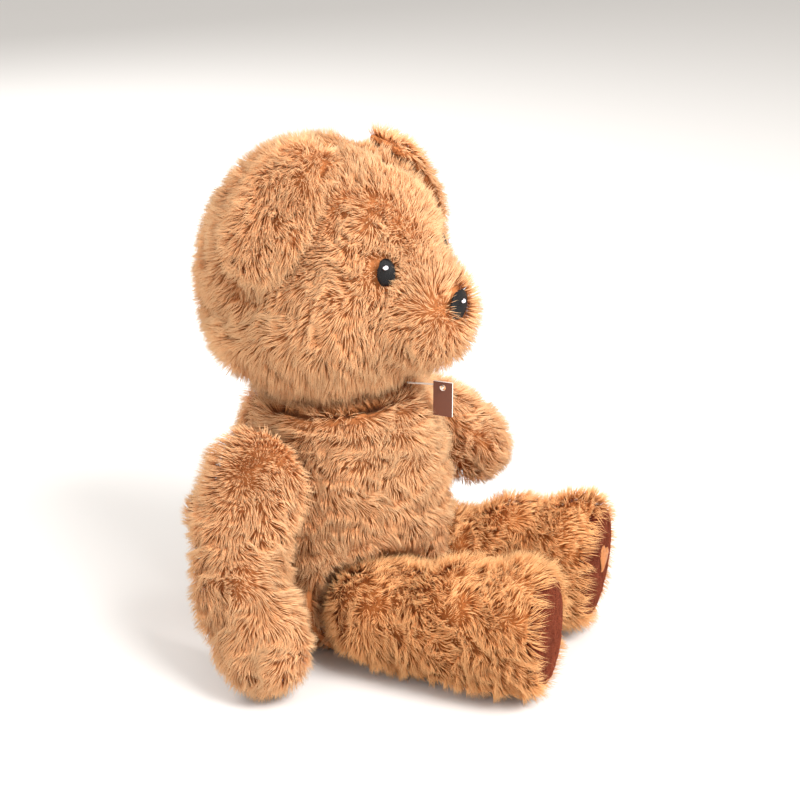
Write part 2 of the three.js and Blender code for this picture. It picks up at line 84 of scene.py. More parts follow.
class Tree:
    """Writes nodes and links into a node tree."""

    def __init__(self, tree: bpy.types.NodeTree) -> None:
        """Keeps the tree to write into."""
        self.tree = tree

    def add(self, kind: str, inputs: dict | None = None, **settings: object) -> bpy.types.Node:
        """Adds a node.

        Args:
            kind: the node's type name.
            inputs: socket name or index to a value or to another node's output.
            **settings: the node's own properties.

        Returns:
            The new node.
        """
        node = self.tree.nodes.new(kind)
        for name, value in settings.items():
            setattr(node, name, value)
        for name, value in (inputs or {}).items():
            self.feed(node.inputs[name], value)
        return node

    def feed(self, socket: bpy.types.NodeSocket, value: object) -> None:
        """Links an output to a socket, or sets the socket's own value."""
        if isinstance(value, bpy.types.NodeSocket):
            self.tree.links.new(value, socket)
        else:
            socket.default_value = value

    def math(self, operation: str, *values: object) -> bpy.types.NodeSocket:
        """A Math node's result on up to three values."""
        return self.add("ShaderNodeMath", dict(enumerate(values)), operation=operation).outputs[0]

    def times(self, first: object, second: object) -> bpy.types.NodeSocket:
        """The product of two numbers."""
        return self.math("MULTIPLY", first, second)

    def spread(self, value: object, amount: object, middle: object) -> bpy.types.NodeSocket:
        """A value from 0 to 1, spread by an amount about a middle."""
        return self.math("MULTIPLY_ADD", self.math("SUBTRACT", value, 0.5), amount, middle)

    def held(self, value: object, low: float, high: float) -> bpy.types.NodeSocket:
        """A value held between two limits."""
        return self.math("MINIMUM", self.math("MAXIMUM", value, low), high)

    def vector(self, operation: str, *values: object) -> bpy.types.NodeSocket:
        """A Vector Math node's vector result."""
        node = self.add("ShaderNodeVectorMath", dict(enumerate(values)), operation=operation)
        return node.outputs["Vector"]

    def scaled(self, vector: object, factor: object) -> bpy.types.NodeSocket:
        """A vector times a number."""
        node = self.add("ShaderNodeVectorMath", {0: vector, "Scale": factor}, operation="SCALE")
        return node.outputs["Vector"]

    def dot(self, first: object, second: object) -> bpy.types.NodeSocket:
        """The dot product of two vectors."""
        node = self.add("ShaderNodeVectorMath", {0: first, 1: second}, operation="DOT_PRODUCT")
        return node.outputs["Value"]

    def plus(self, *vectors: object) -> bpy.types.NodeSocket:
        """The sum of several vectors."""
        total = vectors[0]
        for vector in vectors[1:]:
            total = self.vector("ADD", total, vector)
        return total

    def along_surface(self, vector: object, normal: object) -> bpy.types.NodeSocket:
        """The part of a vector that lies in the surface."""
        return self.vector("SUBTRACT", vector, self.scaled(normal, self.dot(vector, normal)))

    def curve(self, start: object, bend: object, end: object, along: object) -> bpy.types.NodeSocket:
        """A point along the curve that leaves start towards bend and comes to end from it."""
        rest = self.math("SUBTRACT", 1.0, along)
        return self.plus(
            self.scaled(start, self.times(rest, rest)),
            self.scaled(bend, self.times(self.times(rest, along), 2.0)),
            self.scaled(end, self.times(along, along)),
        )

    def parts(self, vector: object) -> list[bpy.types.NodeSocket]:
        """A vector's X, Y and Z."""
        return list(self.add("ShaderNodeSeparateXYZ", {0: vector}).outputs)

    def joined(self, x: object, y: object, z: object = 0.0) -> bpy.types.NodeSocket:
        """A vector from three numbers."""
        return self.add("ShaderNodeCombineXYZ", {0: x, 1: y, 2: z}).outputs[0]

    def noise(self, place: object, size: object, detail: float = 2.0) -> bpy.types.NodeSocket:
        """Noise from 0 to 1, whose features are about size metres across."""
        scale = self.math("DIVIDE", 1.0, size)
        node = self.add("ShaderNodeTexNoise", {"Vector": place, "Scale": scale, "Detail": detail})
        return node.outputs[0]

    def read(self, name: str, kind: str = "FLOAT") -> bpy.types.NodeSocket:
        """A named attribute."""
        node = self.add("GeometryNodeInputNamedAttribute", {"Name": name}, data_type=kind)
        return live(node.outputs, "Attribute")

    def store(
        self, geometry: object, name: str, value: object, kind: str = "FLOAT", domain: str = "POINT"
    ) -> bpy.types.NodeSocket:
        """Geometry with a value written into a named attribute."""
        node = self.add(
            "GeometryNodeStoreNamedAttribute", {"Geometry": geometry, "Name": name},
            data_type=kind, domain=domain,
        )
        self.feed(live(node.inputs, "Value"), value)
        return node.outputs[0]

    def finish(self, geometry: object, material: object, used: Sequence[str]) -> None:
        """Drops the used attributes, sets the material and hands the geometry out."""
        for name in used:
            cleared = self.add("GeometryNodeRemoveAttribute", {"Geometry": geometry, "Name": name})
            geometry = cleared.outputs[0]
        dressed = self.add("GeometryNodeSetMaterial", {"Geometry": geometry, "Material": material})
        self.add("NodeGroupOutput", {"Geometry": dressed.outputs[0]})


def live(sockets: Sequence[bpy.types.NodeSocket], name: str) -> bpy.types.NodeSocket:
    """The socket of a name that is in use, of the several that a node keeps."""
    return next(socket for socket in sockets if socket.enabled and socket.name == name)


def new_tree(name: str, **kinds: str) -> tuple[Tree, bpy.types.NodeOutputs]:
    """Makes a geometry node group that gives geometry.

    Args:
        name: the group's name.
        **kinds: what each input takes, by the input's name in lower case.

    Returns:
        A writer on the new group, and the group's inputs.
    """
    group = bpy.data.node_groups.new(name, "GeometryNodeTree")
    for title, kind in kinds.items():
        group.interface.new_socket(name=as_title(title), in_out="INPUT", socket_type=f"NodeSocket{kind}")
    group.interface.new_socket(name="Geometry", in_out="OUTPUT", socket_type="NodeSocketGeometry")
    tree = Tree(group)
    return tree, tree.add("NodeGroupInput").outputs


def as_title(name: str) -> str:
    """The name of the group input that a setting goes to."""
    return name.replace("_", " ").capitalize()


def run_tree(piece: bpy.types.Object, tree: bpy.types.NodeTree, **settings: object) -> None:
    """Runs a node tree on a piece and keeps the result as its plain mesh.

    Args:
        piece: the piece, whose mesh goes into the tree.
        tree: the geometry node group.
        **settings: the tree's inputs, by their names in lower case.
    """
    titled = {as_title(name): value for name, value in settings.items()}
    modifier = piece.modifiers.new(tree.name, "NODES")
    modifier.node_group = tree
    for item in tree.interface.items_tree:
        if item.in_out == "INPUT" and item.name in titled:
            modifier[item.identifier] = titled[item.name]
    grown = evaluated_mesh(piece)
    piece.modifiers.clear()
    bare = piece.data
    piece.data = grown
    bpy.data.meshes.remove(bare)


# ---- pile ---------------------------------------------------------------------------------


@dataclass(frozen=True)
class Pile:
    """How the pile stands on a panel. Lengths are in metres.

    Attributes:
        density: strands per square metre.
        length: a strand's full length.
        width: half a strand's thickness where it is widest.
        lean: how far strands lie down, from 0, upright, to 1, flat.
        swirl: how far the lie turns from the combing, over patches of swirl_size.
        ruffle: the same, over patches of ruffle_size.
        rise: how much the lean varies, over patches of ruffle_size.
        rows: how much narrower those patches are along the lie than across it.
        lock: how strongly strands draw together into locks of lock_size.
        seed: starts the random draws.
    """

    density: float = 1.66e6
    length: float = 0.0112
    width: float = 0.00020
    lean: float = 0.48
    swirl: float = 5.0
    swirl_size: float = 0.024
    ruffle: float = 3.2
    ruffle_size: float = 0.010
    rise: float = 2.1
    rows: float = 0.9
    lock: float = 0.42
    lock_size: float = 0.0034
    seed: int = 1


@cache
def pile_tree() -> bpy.types.NodeTree:
    """Builds the tree that grows pile on a skin's outer faces.

    The skin carries these attributes: outer, true on the faces that grow pile; upright, the way
    out of the skin; comb, the way the pile lies; trim, thick and flat, the shares of the full
    length, density and lean.

    Returns:
        The geometry node group.
    """
    sizes = {f.name: "Float" for f in fields(Pile) if f.name != "seed"}
    t, given = new_tree("Pile", skin="Geometry", **sizes, floor="Float", seed="Int", material="Material")

    def draw(low: float, high: float, seed: int) -> bpy.types.NodeSocket:
        """A random number for each strand."""
        node = t.add("FunctionNodeRandomValue", data_type="FLOAT")
        live(node.inputs, "Min").default_value = low
        live(node.inputs, "Max").default_value = high
        t.feed(live(node.inputs, "Seed"), t.math("ADD", given["Seed"], float(seed)))
        return live(node.outputs, "Value")

    scatter = t.add(
        "GeometryNodeDistributePointsOnFaces",
        {"Mesh": given["Skin"], "Selection": t.read("outer", "BOOLEAN"), "Seed": given["Seed"]},
        distribute_method="RANDOM",
    )
    t.feed(scatter.inputs["Density"], t.times(given["Density"], t.read("thick")))
    normal = t.vector("NORMALIZE", t.read("upright", "FLOAT_VECTOR"))
    root = t.add("GeometryNodeInputPosition").outputs[0]

    def patches(offset: tuple[float, float, float], size: str, detail: float = 1.0) -> bpy.types.NodeSocket:
        """Noise over the skin, in patches of one of the pile's own sizes."""
        return t.noise(t.plus(root, offset), given[size], detail)

    # The lie of each strand: the combing, turned in the surface by two sizes of noise.
    turn = t.times(t.math("SUBTRACT", t.noise(root, given["Swirl size"], 1.0), 0.5), given["Swirl"])
    turn = t.spread(patches((1.9, 0.3, 2.2), "Ruffle size"), given["Ruffle"], turn)
    turn = t.math("ADD", turn, draw(-0.12, 0.12, 6))
    combed = t.vector("NORMALIZE", t.along_surface(t.read("comb", "FLOAT_VECTOR"), normal))
    beside = t.vector("CROSS_PRODUCT", normal, combed)
    lie = t.plus(t.scaled(combed, t.math("COSINE", turn)), t.scaled(beside, t.math("SINE", turn)))
    rows = t.scaled(combed, t.times(t.dot(root, combed), given["Rows"]))
    height_noise = t.noise(t.plus(root, rows, (3.1, 1.7, 0.4)), given["Ruffle size"], 1.0)
    lean = t.spread(height_noise, given["Rise"], given["Lean"])
    lean = t.held(t.math("ADD", lean, draw(-0.04, 0.04, 1)), 0.08, 0.93)
    tilt = t.times(t.times(lean, t.read("flat")), math.pi / 2)
    reach = t.times(t.times(given["Length"], draw(0.82, 1.0, 2)), t.read("trim"))
    rise = t.times(reach, t.math("COSINE", tilt))
    run = t.times(reach, t.math("SINE", tilt))

    # Strands draw together towards the middle of their lock.
    cells = t.add("ShaderNodeTexVoronoi", {"Vector": root, "Randomness": 1.0}, feature="F1")
    t.feed(cells.inputs["Scale"], t.math("DIVIDE", 1.0, given["Lock size"]))
    inwards = t.along_surface(t.vector("SUBTRACT", cells.outputs["Position"], root), normal)
    pull = t.scaled(inwards, t.times(given["Lock"], draw(0.6, 1.2, 3)))
    tip = t.plus(root, t.scaled(normal, rise), t.scaled(lie, run), pull)
    stem = t.plus(t.scaled(normal, t.times(reach, 0.42)), t.scaled(lie, t.times(run, 0.18)))
    bend = t.plus(root, stem, t.scaled(pull, 0.2))
    across = t.vector("NORMALIZE", t.vector("CROSS_PRODUCT", lie, normal))
    up = t.vector("NORMALIZE", t.vector("CROSS_PRODUCT", across, t.vector("SUBTRACT", tip, root)))
    wide = t.times(given["Width"], draw(0.8, 1.2, 4))

    # A shade for each strand, from its patch, its lock and itself.
    shade = t.spread(patches((0.7, 2.3, 5.9), "Swirl size", 2.0), 1.3, 0.5)
    shade = t.spread(t.parts(cells.outputs["Color"])[0], 0.35, shade)
    shade = t.held(t.math("ADD", shade, draw(-0.16, 0.16, 5)), 0.03, 0.97)

    points = scatter.outputs["Points"]
    stored = {
        "root_at": root,
        "bend_at": bend,
        "tip_at": tip,
        "across_by": t.scaled(across, wide),
        "up_by": t.scaled(up, t.times(wide, 0.7)),
    }
    for name, value in stored.items():
        points = t.store(points, name, value, "FLOAT_VECTOR")
    points = t.store(points, "shade", shade)

    # One strand is two three-sided spikes, base to base at the bend, bent along its own curve.
    halves = t.add("GeometryNodeJoinGeometry")
    for low, high, bottom, top in ((0.0, BEND_SHARE, 0.0, 1.0), (BEND_SHARE, 1.0, 1.0, 0.0)):
        spike = t.add(
            "GeometryNodeMeshCone",
            {"Vertices": 3, "Radius Top": top, "Radius Bottom": bottom, "Depth": high - low},
            fill_type="NONE",
        )
        lift = t.add("GeometryNodeTransform", {0: spike.outputs["Mesh"], "Translation": (0, 0, low)})
        t.tree.links.new(lift.outputs[0], halves.inputs[0])
    spindle = t.add("GeometryNodeMergeByDistance", {0: halves.outputs[0]}).outputs[0]
    spindle = t.add("GeometryNodeSetShadeSmooth", {0: spindle}).outputs[0]
    strands = t.add("GeometryNodeInstanceOnPoints", {"Points": points, "Instance": spindle})
    strands = t.add("GeometryNodeRealizeInstances", {0: strands.outputs[0]}).outputs[0]
    start, bend_at, tip_at, across_by, up_by = (t.read(name, "FLOAT_VECTOR") for name in stored)
    own = t.add("GeometryNodeInputPosition").outputs[0]
    sideways, deep, along = t.parts(t.vector("SUBTRACT", own, start))
    x, y, z = t.parts(t.plus(
        t.curve(start, bend_at, tip_at, along), t.scaled(across_by, sideways), t.scaled(up_by, deep),
    ))
    shade_across = t.math("MULTIPLY_ADD", sideways, 0.02, t.read("shade"))
    strands = t.store(strands, BAKE_MAP, t.joined(shade_across, along), "FLOAT2", "CORNER")
    place = t.joined(x, y, t.math("MAXIMUM", z, given["Floor"]))
    coat = t.add("GeometryNodeSetPosition", {"Geometry": strands, "Position": place}).outputs[0]

    join = t.add("GeometryNodeJoinGeometry")
    # The backing takes the colour near the root end of the map: partly the fabric's own colour, partly painted
    # shade in the partings between strands.
    t.tree.links.new(t.store(given["Skin"], BAKE_MAP, SKIN_TONE_AND_SHADE, "FLOAT2", "CORNER"), join.inputs[0])
    t.tree.links.new(coat, join.inputs[0])
    t.finish(join.outputs[0], given["Material"], (*stored, "shade"))
    return t.tree


# ---- finishes -----------------------------------------------------------------------------


def srgb(red: int, green: int, blue: int) -> Colour:
    """A colour given as 0 to 255 display values, as the linear colour that shaders take."""
    shown = (value / 255 for value in (red, green, blue))
    return (*(v / 12.92 if v <= 0.04045 else ((v + 0.055) / 1.055) ** 2.4 for v in shown), 1.0)


@dataclass(frozen=True)
class Finish:
    """A material. Each kind of finish says how its shader is fed."""

    name: str

    def make(self) -> bpy.types.Material:
        """Builds the material."""
        material = bpy.data.materials.new(self.name)
        material.use_nodes = True
        self.dress(Tree(material.node_tree), material.node_tree.nodes["Principled BSDF"].inputs)
        return material

    def dress(self, t: Tree, shader: bpy.types.NodeInputs) -> None:
        """Feeds the shader's inputs."""
        raise NotImplementedError

    @staticmethod
    def bump(t: Tree, shader: bpy.types.NodeInputs, height: object, strength: float, depth: float) -> None:
        """Gives the shader a bumped normal."""
        bump = t.add("ShaderNodeBump", {"Height": height, "Strength": strength, "Distance": depth})
        t.feed(shader["Normal"], bump.outputs[0])

    @staticmethod
    def place(t: Tree) -> bpy.types.NodeSocket:
        """The place on the piece, in its own metres."""
        return t.add("ShaderNodeTexCoord").outputs["Object"]


@dataclass(frozen=True)
class PileFinish(Finish):
    """Colours of a pile fabric from root to tip, in a dark and a light tone. The root colour is painted shade:
    darker and warmer than the fibre, it stands in for the shade deep in the pile and the warm light bounced into
    it.
    """

    root: Colour
    middle: Colour
    tip: Colour
    dark: float = 0.72
    sheen: float = 0.1
    roughness: float = 0.8
    middle_at: float = 0.36

    def dress(self, t: Tree, shader: bpy.types.NodeInputs) -> None:
        """Reads only the strand's own map: shade across, root to tip up."""
        across, along, _ = t.parts(t.add("ShaderNodeUVMap", uv_map=BAKE_MAP).outputs[0])
        colours = t.add("ShaderNodeValToRGB", {0: along})
        stops = colours.color_ramp.elements
        # The root stop is painted shade of the deep pile, with painted warm bounce light in it.
        stops[0].color = self.root
        stops[1].color = self.tip
        stops.new(self.middle_at).color = self.middle
        tone = t.add("ShaderNodeMapRange", {0: across, 3: self.dark, 4: 1.0})
        grain = t.add("ShaderNodeTexNoise", {"Vector": t.joined(t.times(across, 60.0), along), "Scale": 3.0})
        speck = t.math("MULTIPLY_ADD", grain.outputs[0], 0.16, 0.92)
        t.feed(shader["Base Color"], t.scaled(colours.outputs[0], t.times(tone.outputs[0], speck)))
        shader["Roughness"].default_value = self.roughness
        shader["Sheen Weight"].default_value = self.sheen
        shader["Sheen Roughness"].default_value = 0.4
        shader["Sheen Tint"].default_value = self.tip
        shader["Specular IOR Level"].default_value = 0.15


@dataclass(frozen=True)
class ThreadFinish(Finish):
    """Shiny embroidery thread, with a slight change of shade along and between the stitches."""

    colour: Colour
    roughness: float = 0.5
    spread: float = 0.25

    def dress(self, t: Tree, shader: bpy.types.NodeInputs) -> None:
        """Varies the shade over the patch, and the gloss along the fibres."""
        place = self.place(t)
        fibre = t.noise(place, 0.00025, 1.0)
        factor = t.spread(t.noise(place, 0.0016), self.spread * 2, 1.0)
        t.feed(shader["Base Color"], t.scaled(self.colour[:3], factor))
        self.bump(t, shader, fibre, 0.35, 0.0001)
        rough = t.add("ShaderNodeMapRange", {0: fibre, 3: self.roughness - 0.06, 4: self.roughness + 0.12})
        t.feed(shader["Roughness"], rough.outputs[0])
        shader["Specular IOR Level"].default_value = 0.3
        shader["Anisotropic"].default_value = 0.4


@dataclass(frozen=True)
class CardFinish(Finish):
    """A swing card, brown on its printed faces and white along its cut edge."""

    face: Colour
    edge: Colour
    half_thickness: float = 0.0005

    def dress(self, t: Tree, shader: bpy.types.NodeInputs) -> None:
        """Colours the faces and the edge, and gives both a paper grain."""
        place = self.place(t)
        on_face = t.math("GREATER_THAN", t.math("ABSOLUTE", t.parts(place)[0]), self.half_thickness)
        paper = t.noise(place, 0.0004, 3.0)
        mixed = t.add("ShaderNodeMix", {0: on_face, 6: self.edge, 7: self.face}, data_type="RGBA")
        t.feed(shader["Base Color"], t.scaled(mixed.outputs[2], t.math("MULTIPLY_ADD", paper, 0.2, 0.9)))
        self.bump(t, shader, paper, 0.2, 0.0001)
        shader["Roughness"].default_value = 0.6


@dataclass(frozen=True)
class FibreFinish(Finish):
    """Loose fibre, pellets or nylon: one colour, broken up at the scale of its grain."""

    colour: Colour
    grain: float
    roughness: float = 0.9

    def dress(self, t: Tree, shader: bpy.types.NodeInputs) -> None:
        """Breaks the colour up into clumps."""
        clumps = t.noise(self.place(t), self.grain, 4.0)
        t.feed(shader["Base Color"], t.scaled(self.colour[:3], t.math("MULTIPLY_ADD", clumps, 0.4, 0.75)))
        self.bump(t, shader, clumps, 0.5, self.grain / 4)
        shader["Roughness"].default_value = self.roughness


# Each first colour is the root's: painted shade of the deep pile, darker and warmer than the fibre itself.
PLUSH = PileFinish("plush", srgb(138, 62, 18), srgb(230, 154, 94), srgb(255, 212, 164)).make()
LEG_PLUSH = PileFinish("leg_plush", srgb(130, 56, 16), srgb(222, 142, 78), srgb(252, 198, 140)).make()
VELOUR = PileFinish("velour", srgb(74, 28, 16), srgb(116, 50, 30), srgb(158, 80, 54), 0.7, 0.25).make()
BLACK = ThreadFinish("black_thread", srgb(11, 9, 10)).make()
WHITE = ThreadFinish("white_thread", srgb(238, 232, 240)).make()
GOLD = ThreadFinish("gold_thread", srgb(178, 114, 66)).make()
STUFFING = FibreFinish("stuffing", srgb(236, 228, 216), 0.006).make()
BEANS = FibreFinish("bean_bag", srgb(206, 196, 178), 0.003).make()
NYLON = FibreFinish("tag_thread", srgb(226, 214, 200), 0.002, roughness=0.4).make()
CARD = CardFinish("tag_card", srgb(96, 52, 34), srgb(240, 230, 220)).make()


# ---- skins --------------------------------------------------------------------------------


@dataclass
class Surface:
    """A smooth closed surface: points, four-sided faces and the points' normals."""

    points: Array
    faces: Array
    normals: Array


def object_from(name: str, points: Array, faces: Sequence[Sequence[int]]) -> bpy.types.Object:
    """Makes a mesh object at the origin and links it to the scene."""
    mesh = bpy.data.meshes.new(name)
    mesh.from_pydata([tuple(p) for p in points], [], [tuple(f) for f in faces])
    mesh.update()
    made = bpy.data.objects.new(name, mesh)
    bpy.context.scene.collection.objects.link(made)
    return made


def evaluated_mesh(piece: bpy.types.Object) -> bpy.types.Mesh:
    """A plain copy of an object's mesh with its modifiers applied."""
    graph = bpy.context.evaluated_depsgraph_get()
    return bpy.data.meshes.new_from_object(piece.evaluated_get(graph))


def node_arrays(names: Sequence[str]) -> tuple[Array, Array]:
    """The points and triangles of several CAD nodes together."""
    points, triangles, start = [], [], 0
    for name in names:
        mesh = frame["nodes"][name].data
        mesh.calc_loop_triangles()
        co = np.empty(len(mesh.vertices) * 3, np.float32)
        mesh.vertices.foreach_get("co", co)
        index = np.empty(len(mesh.loop_triangles) * 3, np.int32)
        mesh.loop_triangles.foreach_get("vertices", index)
        points.append(co.reshape(-1, 3))
        triangles.append(index.reshape(-1, 3) + start)
        start += len(mesh.vertices)
    return np.concatenate(points), np.concatenate(triangles)


@dataclass(frozen=True)
class SkinMaker:
    """Turns a body's CAD nodes into the smooth fabric surface that the pile grows from.

    Attributes:
        voxel: the mesh's grid.
        rounds: how often the mesh is smoothed.
        settled: how often it is smoothed once it is drawn in.
        depth: how far the fabric lies below the pile's tips.
        pressure: the filling's pressure on the fabric.
        swell: how far the filling may push the fabric out.
        rest: the lowest height of the fabric.
        frames: how long the filling presses.
    """

    voxel: float = 0.0035
    rounds: int = 7
    settled: int = 0
    depth: float = 0.0072
    pressure: float = 4.0
    swell: float = 0.0026
    rest: float = 0.0014
    frames: int = 20

    def surface(self, names: Sequence[str], panels: Sequence[str] = ()) -> tuple[Surface, Array]:
        """Joins the nodes, smooths the result, draws it in by the pile's depth and fills it.

        Args:
            names: the CAD nodes that the surface goes round.
            panels: the CAD panels that share it out, if the filling is to swell it.

        Returns:
            The fabric's surface, and the panel of each of its faces.
        """
        points, triangles = node_arrays(names)
        rough = object_from("rough", points, triangles)
        welded = bmesh.new()
        welded.from_mesh(rough.data)
        bmesh.ops.remove_doubles(welded, verts=welded.verts, dist=1e-6)
        welded.to_mesh(rough.data)
        welded.free()
        remesh = rough.modifiers.new("remesh", "REMESH")
        remesh.mode = "VOXEL"
        remesh.voxel_size = self.voxel
        remeshed = evaluated_mesh(rough)
        bpy.data.objects.remove(rough)
        mesh, faces = outermost(remeshed)
        edges = np.empty(len(mesh.edges) * 2, np.int64)
        mesh.edges.foreach_get("vertices", edges)
        points = self.smoothed(vertex_values(mesh, "co"), edges.reshape(-1, 2), self.rounds)
        set_points(mesh, points)
        points = points - vertex_values(mesh, "normal") * self.depth
        points = self.smoothed(points, edges.reshape(-1, 2), self.settled)
        points[:, 2] = np.maximum(points[:, 2], self.rest)
        set_points(mesh, points)
        surface = Surface(points, faces, vertex_values(mesh, "normal"))
        owner = panel_of_faces(surface, panels, self.depth) if panels else np.zeros(len(faces), int)
        if panels:
            points = self.filled(mesh, surface, owner)
            points = self.smoothed(points, edges.reshape(-1, 2), 1)
            points[:, 2] = np.maximum(points[:, 2], self.rest)
            set_points(mesh, points)
            surface = Surface(points, faces, vertex_values(mesh, "normal"))
        bpy.data.meshes.remove(mesh)
        return surface, owner

    def smoothed(self, points: Array, edges: Array, rounds: int) -> Array:
        """Moves each point halfway to the middle of its neighbours, several times over."""
        count = np.bincount(edges.ravel(), minlength=len(points))[:, None]
        for _ in range(rounds):
            total = np.zeros_like(points)
            np.add.at(total, edges[:, 0], points[edges[:, 1]])
            np.add.at(total, edges[:, 1], points[edges[:, 0]])
            points = points + 0.5 * (total / count - points)
        return points

    def filled(self, mesh: bpy.types.Mesh, surface: Surface, owner: Array) -> Array:
        """Lets the filling push the fabric out between its seams, by cloth simulation.

        Args:
            mesh: the fabric's mesh.
            surface: its surface.
            owner: the panel of each face, which says where the seams are.

        Returns:
            The fabric's points once it is filled.
        """
        low = np.full(len(surface.points), len(owner))
        high = np.full(len(surface.points), -1)
        for corner in range(surface.faces.shape[1]):
            np.minimum.at(low, surface.faces[:, corner], owner)
            np.maximum.at(high, surface.faces[:, corner], owner)
        piece = bpy.data.objects.new("fabric", mesh.copy())
        bpy.context.scene.collection.objects.link(piece)
        seams = piece.vertex_groups.new(name="seams")
        seams.add(np.flatnonzero(low != high).tolist(), 1.0, "REPLACE")
        cloth = piece.modifiers.new("cloth", "CLOTH")
        settings = cloth.settings
        settings.use_pressure = True
        settings.uniform_pressure_force = self.pressure
        settings.effector_weights.gravity = 0.0
        settings.vertex_group_mass = seams.name
        settings.pin_stiffness = 1.0
        settings.quality = 5
        cloth.point_cache.frame_start = 1
        cloth.point_cache.frame_end = self.frames
        scene = bpy.context.scene
        for number in range(1, self.frames + 1):
            scene.frame_set(number)
        swollen = evaluated_mesh(piece)
        moved = vertex_values(swollen, "co") - surface.points
        scene.frame_set(1)
        bpy.data.meshes.remove(swollen)
        bare = piece.data
        bpy.data.objects.remove(piece)
        bpy.data.meshes.remove(bare)
        length = np.maximum(np.linalg.norm(moved, axis=1, keepdims=True), 1e-9)
        LOG.info("filled by %.1f mm on average", float(length.mean() / MM))
        return surface.points + moved / length * np.minimum(length, self.swell)


def outermost(mesh: bpy.types.Mesh) -> tuple[bpy.types.Mesh, Array]:
    """Keeps a mesh's largest connected part, which drops the closed gaps inside it.

    Args:
        mesh: the mesh, which is used up.

    Returns:
        The part as its own mesh, and its faces.
    """
    points = vertex_values(mesh, "co")
    faces = np.array([tuple(p.vertices) for p in mesh.polygons])
    bpy.data.meshes.remove(mesh)
    part = np.arange(len(points))
    while True:
        lowest = part[faces].min(1)
        joined = part.copy()
        for corner in range(faces.shape[1]):
            np.minimum.at(joined, faces[:, corner], lowest)
        joined = joined[joined]
        if np.array_equal(joined, part):
            break
        part = joined
    kept = part == np.bincount(part).argmax()
    renumbered = np.cumsum(kept) - 1
    faces = renumbered[faces[kept[faces[:, 0]]]]
    outer = bpy.data.meshes.new("outer")
    outer.from_pydata(points[kept].tolist(), [], faces.tolist())
    outer.update()
    return outer, faces


def vertex_values(mesh: bpy.types.Mesh, name: str) -> Array:
    """A vector of every vertex of a mesh: its place, co, or its normal."""
    values = np.empty(len(mesh.vertices) * 3)
    mesh.vertices.foreach_get(name, values)
    return values.reshape(-1, 3)


def set_points(mesh: bpy.types.Mesh, points: Array) -> None:
    """Moves every vertex of a mesh."""
    mesh.vertices.foreach_set("co", points.ravel())
    mesh.update()


def panel_of_faces(surface: Surface, panels: Sequence[str], depth: float) -> Array:
    """The index of the CAD panel that lies over each face."""
    middles = surface.points[surface.faces].mean(1) + surface.normals[surface.faces].mean(1) * depth / 2
    distances = []
    for name in panels:
        points, triangles = node_arrays([name])
        tree = BVHTree.FromPolygons(points.tolist(), triangles.tolist())
        distances.append([tree.find_nearest(Vector(m))[3] for m in middles])
    return np.array(distances).argmin(0)


